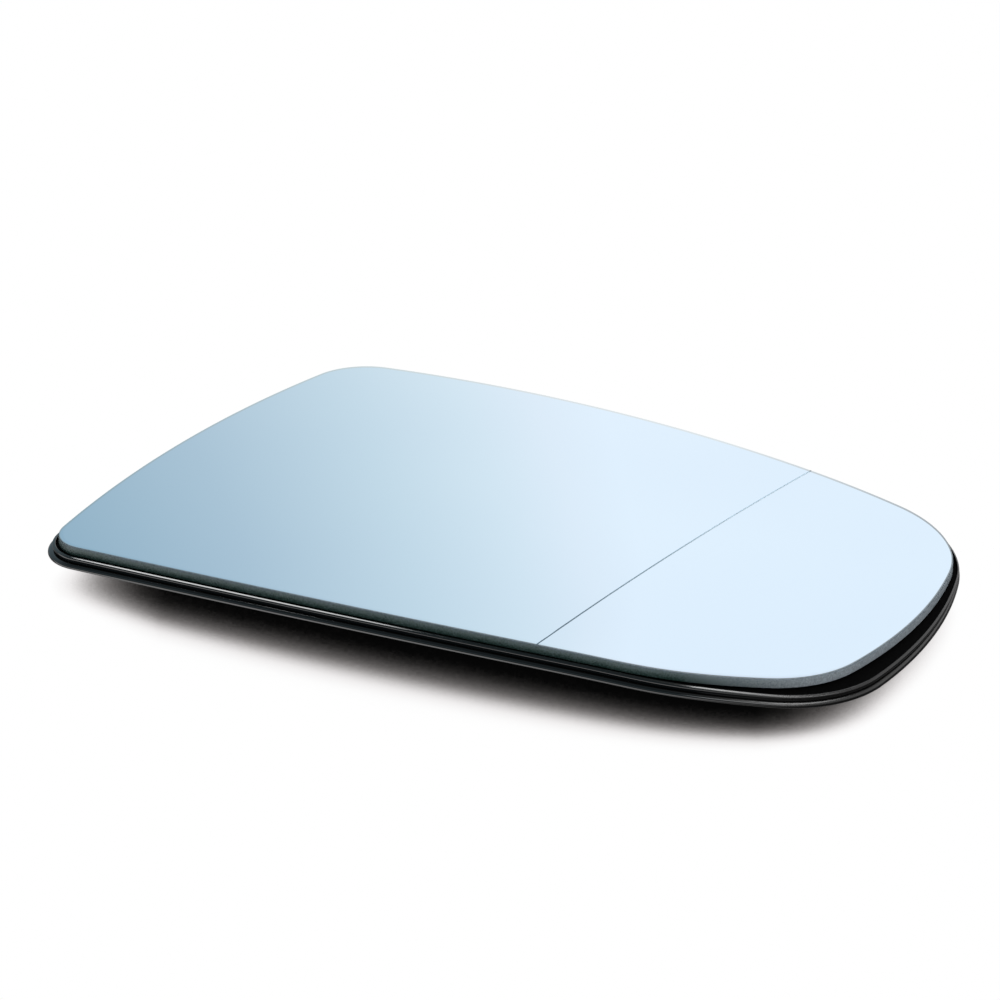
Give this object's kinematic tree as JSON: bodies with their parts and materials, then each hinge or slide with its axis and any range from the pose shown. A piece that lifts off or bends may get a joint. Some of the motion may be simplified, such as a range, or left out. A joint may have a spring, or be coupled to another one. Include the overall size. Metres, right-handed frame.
{
  "type": "car door mirror glass",
  "caption": "Convex blue-tinted door mirror glass with an aspheric outer zone, bonded to a black clip-on backing plate with a beaded rim and rear adjuster collar.",
  "frame": {"origin": "centre of the adjuster collar's end face, on which the part rests", "axes": "+X outboard along the mirror's length, +Y to the mirror's top edge, +Z out of the reflecting face"},
  "size_m": [0.1923, 0.1302, 0.0165],
  "materials": {
    "mirror_glass": "polished, blue tinted reflecting coat, ground grey-green edge",
    "heating_pad": "printed polyester film",
    "backing_plate": "moulded black ABS, glossy rim",
    "terminals": "tin-plated brass"
  },
  "bodies": {
    "root": {"mirror_glass": "mirror_glass", "heating_pad": "heating_pad", "backing_plate": "backing_plate", "terminal_upper": "terminals", "terminal_lower": "terminals"}
  },
  "joints": []
}
